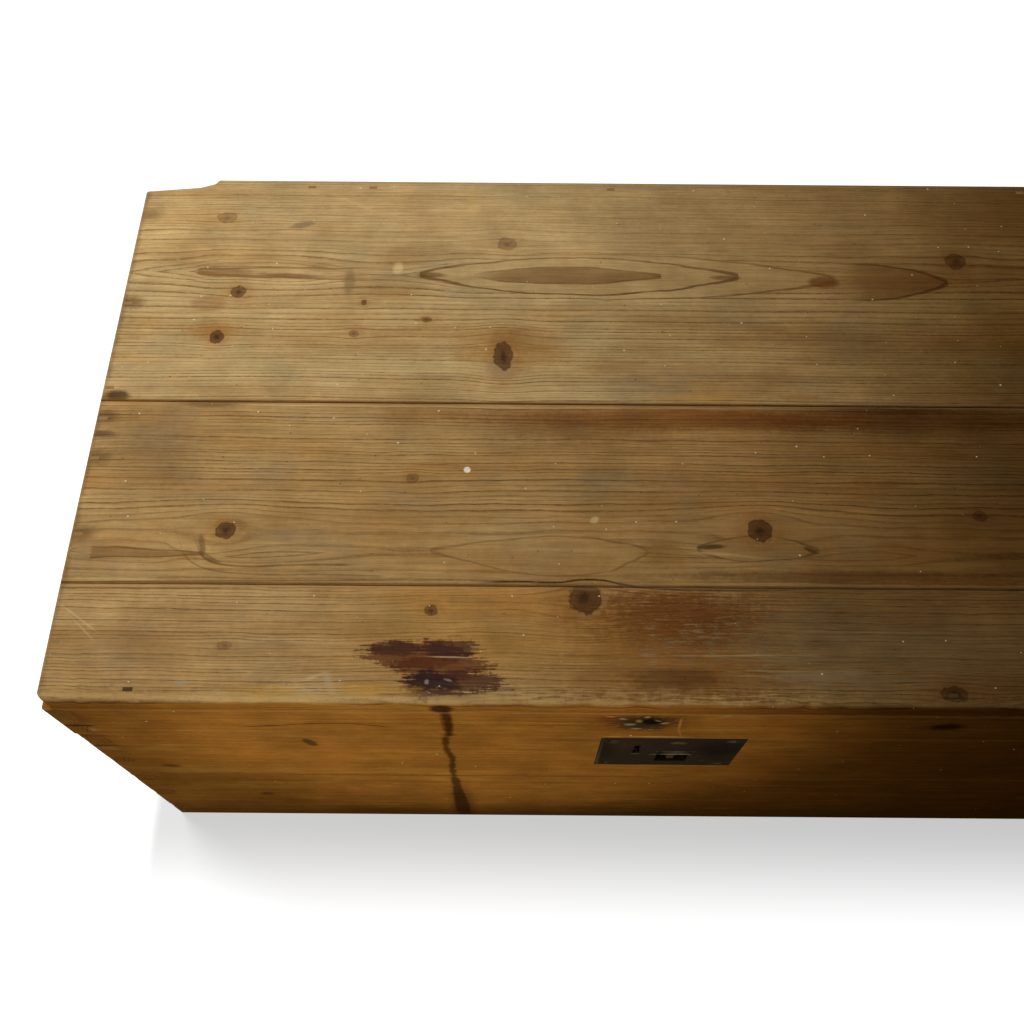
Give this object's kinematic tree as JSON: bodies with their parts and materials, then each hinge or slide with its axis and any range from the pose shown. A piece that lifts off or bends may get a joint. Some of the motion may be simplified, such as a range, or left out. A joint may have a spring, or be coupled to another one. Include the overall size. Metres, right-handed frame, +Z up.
{
  "type": "wooden storage box",
  "caption": "Old pine storage box with a hinged plank lid, dovetailed corners, a flush iron hasp lock and drop handles at the ends.",
  "frame": {"origin": "on the floor, at the middle of the body's rectangular footprint", "axes": "+X to the right seen from the front, along the length; +Y to the back, where the hinges are; +Z up"},
  "size_m": [0.9594, 0.5016, 0.38],
  "materials": {
    "back_board_lower": "worn old wax on dry pine",
    "back_board_upper": "worn old wax on dry pine",
    "bottom_board_back": "bare dusty pine",
    "bottom_board_front": "bare dusty pine",
    "bottom_board_middle": "bare dusty pine",
    "bottom_nails": "rusted iron",
    "front_board_lower": "worn old wax on dry pine",
    "front_board_upper": "worn old wax on dry pine",
    "handle_left_bail": "blackened iron, worn at the edges",
    "handle_left_eyes": "blackened iron, worn at the edges",
    "handle_right_bail": "blackened iron, worn at the edges",
    "handle_right_eyes": "blackened iron, worn at the edges",
    "hinge_body_screws": "rusted iron",
    "hinge_left_body_leaf": "blackened iron, worn at the edges",
    "hinge_left_lid_leaf": "blackened iron, worn at the edges",
    "hinge_left_pin": "rusted iron",
    "hinge_lid_screws": "rusted iron",
    "hinge_right_body_leaf": "blackened iron, worn at the edges",
    "hinge_right_lid_leaf": "blackened iron, worn at the edges",
    "hinge_right_pin": "rusted iron",
    "left_board_lower": "worn old wax on dry pine",
    "left_board_upper": "worn old wax on dry pine",
    "lid_board_back": "worn old wax on dry pine",
    "lid_board_front": "worn old wax on dry pine",
    "lid_board_middle": "worn old wax on dry pine",
    "lid_nails_back": "rusted iron",
    "lid_nails_ends": "rusted iron",
    "lid_nails_front": "rusted iron",
    "lid_rail_back": "worn old wax on dry pine",
    "lid_rail_front": "worn old wax on dry pine",
    "lid_rail_left": "worn old wax on dry pine",
    "lid_rail_right": "worn old wax on dry pine",
    "lock_bolt": "worn iron, bright where it rubs",
    "lock_case": "blackened iron, worn at the edges",
    "lock_keeper": "blackened iron, worn at the edges",
    "lock_key_pin": "rusted iron",
    "lock_plate": "blackened iron, worn at the edges",
    "lock_plate_nails": "rusted iron",
    "lock_rivet": "blackened iron, worn at the edges",
    "lock_spring": "blackened iron, worn at the edges",
    "right_board_lower": "worn old wax on dry pine",
    "right_board_upper": "worn old wax on dry pine"
  },
  "bodies": {
    "chest": {"back_board_lower": "back_board_lower", "back_board_upper": "back_board_upper", "bottom_board_back": "bottom_board_back", "bottom_board_front": "bottom_board_front", "bottom_board_middle": "bottom_board_middle", "bottom_nails": "bottom_nails", "front_board_lower": "front_board_lower", "front_board_upper": "front_board_upper", "handle_left_eyes": "handle_left_eyes", "handle_right_eyes": "handle_right_eyes", "hinge_body_screws": "hinge_body_screws", "hinge_left_body_leaf": "hinge_left_body_leaf", "hinge_left_pin": "hinge_left_pin", "hinge_right_body_leaf": "hinge_right_body_leaf", "hinge_right_pin": "hinge_right_pin", "left_board_lower": "left_board_lower", "left_board_upper": "left_board_upper", "lock_case": "lock_case", "lock_keeper": "lock_keeper", "lock_key_pin": "lock_key_pin", "lock_plate": "lock_plate", "lock_plate_nails": "lock_plate_nails", "lock_rivet": "lock_rivet", "lock_spring": "lock_spring", "right_board_lower": "right_board_lower", "right_board_upper": "right_board_upper"},
    "lid": {"hinge_left_lid_leaf": "hinge_left_lid_leaf", "hinge_lid_screws": "hinge_lid_screws", "hinge_right_lid_leaf": "hinge_right_lid_leaf", "lid_board_back": "lid_board_back", "lid_board_front": "lid_board_front", "lid_board_middle": "lid_board_middle", "lid_nails_back": "lid_nails_back", "lid_nails_ends": "lid_nails_ends", "lid_nails_front": "lid_nails_front", "lid_rail_back": "lid_rail_back", "lid_rail_front": "lid_rail_front", "lid_rail_left": "lid_rail_left", "lid_rail_right": "lid_rail_right"},
    "lock_bolt": {"lock_bolt": "lock_bolt"},
    "left_bail": {"handle_left_bail": "handle_left_bail"},
    "right_bail": {"handle_right_bail": "handle_right_bail"}
  },
  "joints": [
    {"name": "lid_hinge", "type": "hinge", "parent": "chest", "child": "lid", "pos_m": [0, 0.2498, 0.296], "axis": [-1, 0, 0], "range_deg": [0, 105]},
    {"name": "lock_bolt_slide", "type": "slide", "parent": "chest", "child": "lock_bolt", "axis": [0, 0, 1], "range_m": [0, 0.011]},
    {"name": "left_bail_swing", "type": "hinge", "parent": "chest", "child": "left_bail", "pos_m": [-0.47, 0, 0.205], "axis": [0, 1, 0], "range_deg": [-5, 185]},
    {"name": "right_bail_swing", "type": "hinge", "parent": "chest", "child": "right_bail", "pos_m": [0.47, 0, 0.205], "axis": [0, -1, 0], "range_deg": [-5, 185]}
  ]
}
